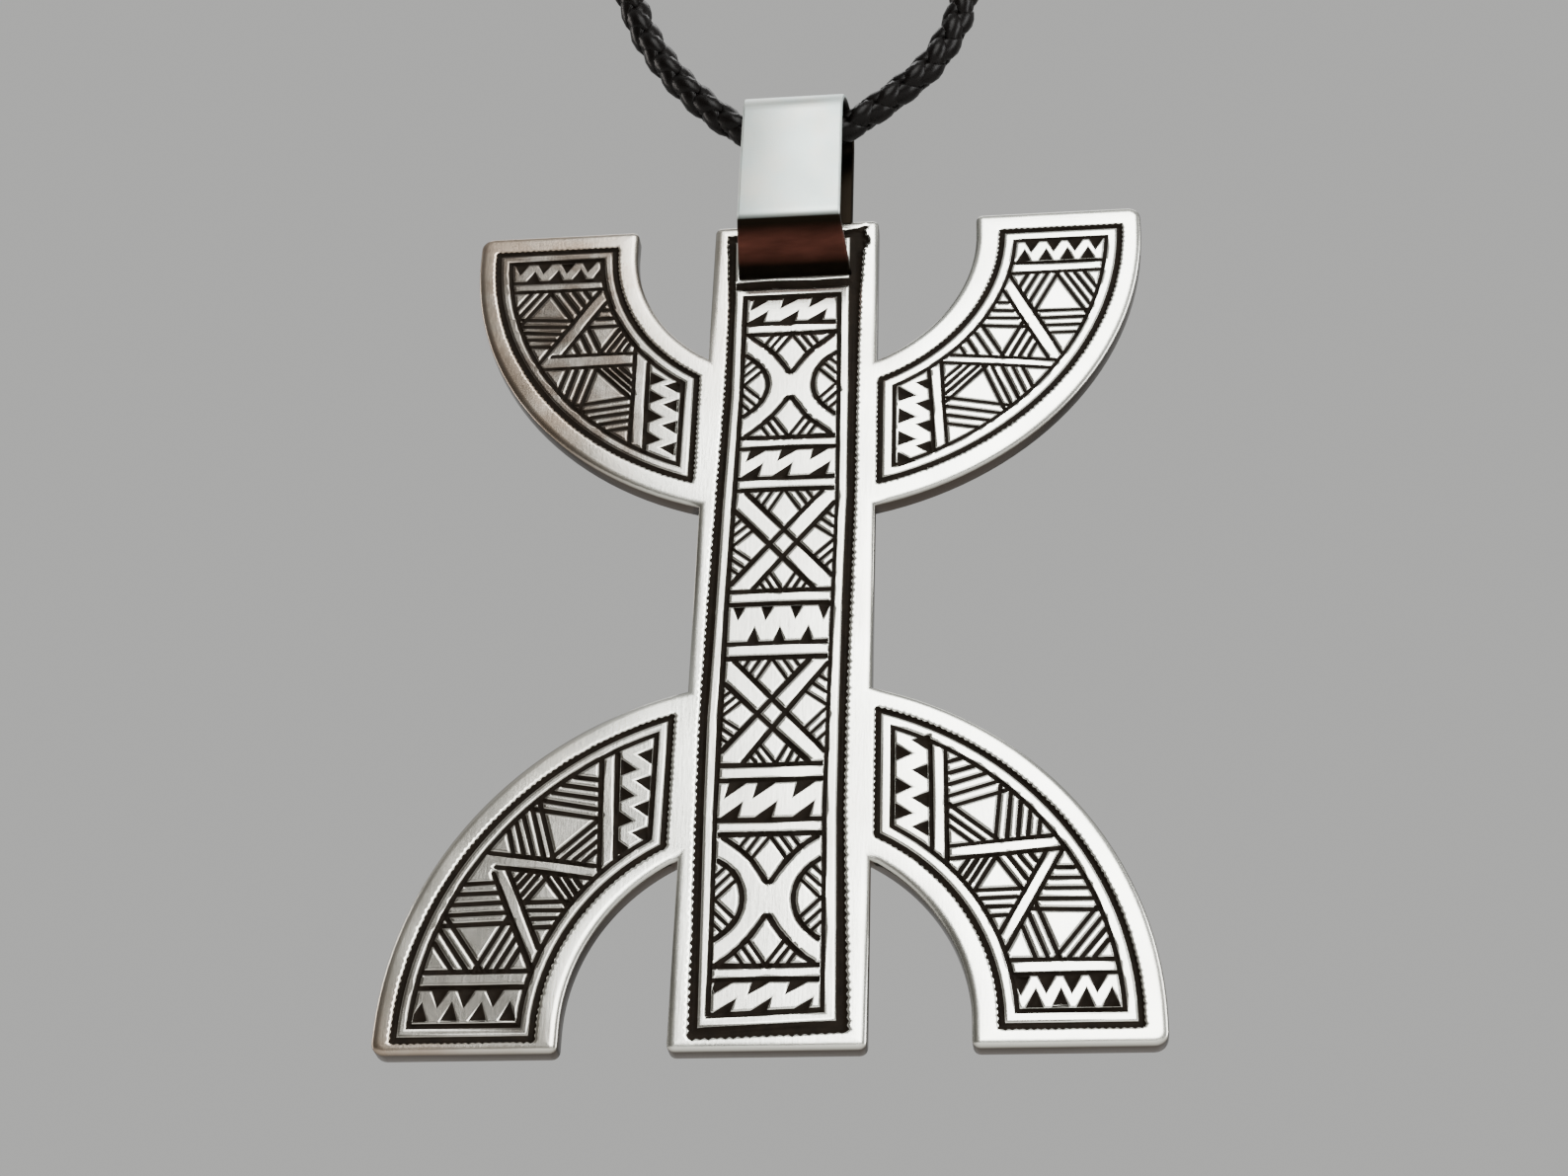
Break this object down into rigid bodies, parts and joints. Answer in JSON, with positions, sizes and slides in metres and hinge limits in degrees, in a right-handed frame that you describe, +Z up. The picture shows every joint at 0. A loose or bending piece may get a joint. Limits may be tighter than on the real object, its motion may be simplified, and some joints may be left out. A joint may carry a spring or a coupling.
{
  "type": "berber pendant necklace",
  "caption": "Engraved silver pendant in the shape of the letter yaz, with a strip bail, swinging on a looped braided leather cord with a barrel clasp.",
  "frame": {"origin": "on the inner side of the clasp, where the loop sits on the nape", "axes": "+Z up, -Y towards the front of the wearer and the engraved face, +X to the right as seen from the front"},
  "size_m": [0.118, 0.118, 0.2215],
  "materials": {
    "silver": "hand-polished silver with fine scratches, blackened in the engraving",
    "black_leather": "round braided black leather, slightly glossy",
    "clasp_metal": "plain satin metal barrel"
  },
  "bodies": {
    "strand": {"cord": "black_leather", "clasp": "clasp_metal"},
    "pendant": {"pendant": "silver"}
  },
  "joints": [
    {"name": "pendant_swing", "type": "hinge", "parent": "strand", "child": "pendant", "pos_m": [0, -0.11, -0.148], "axis": [1, 0, 0], "range_deg": [-60, 60]}
  ]
}
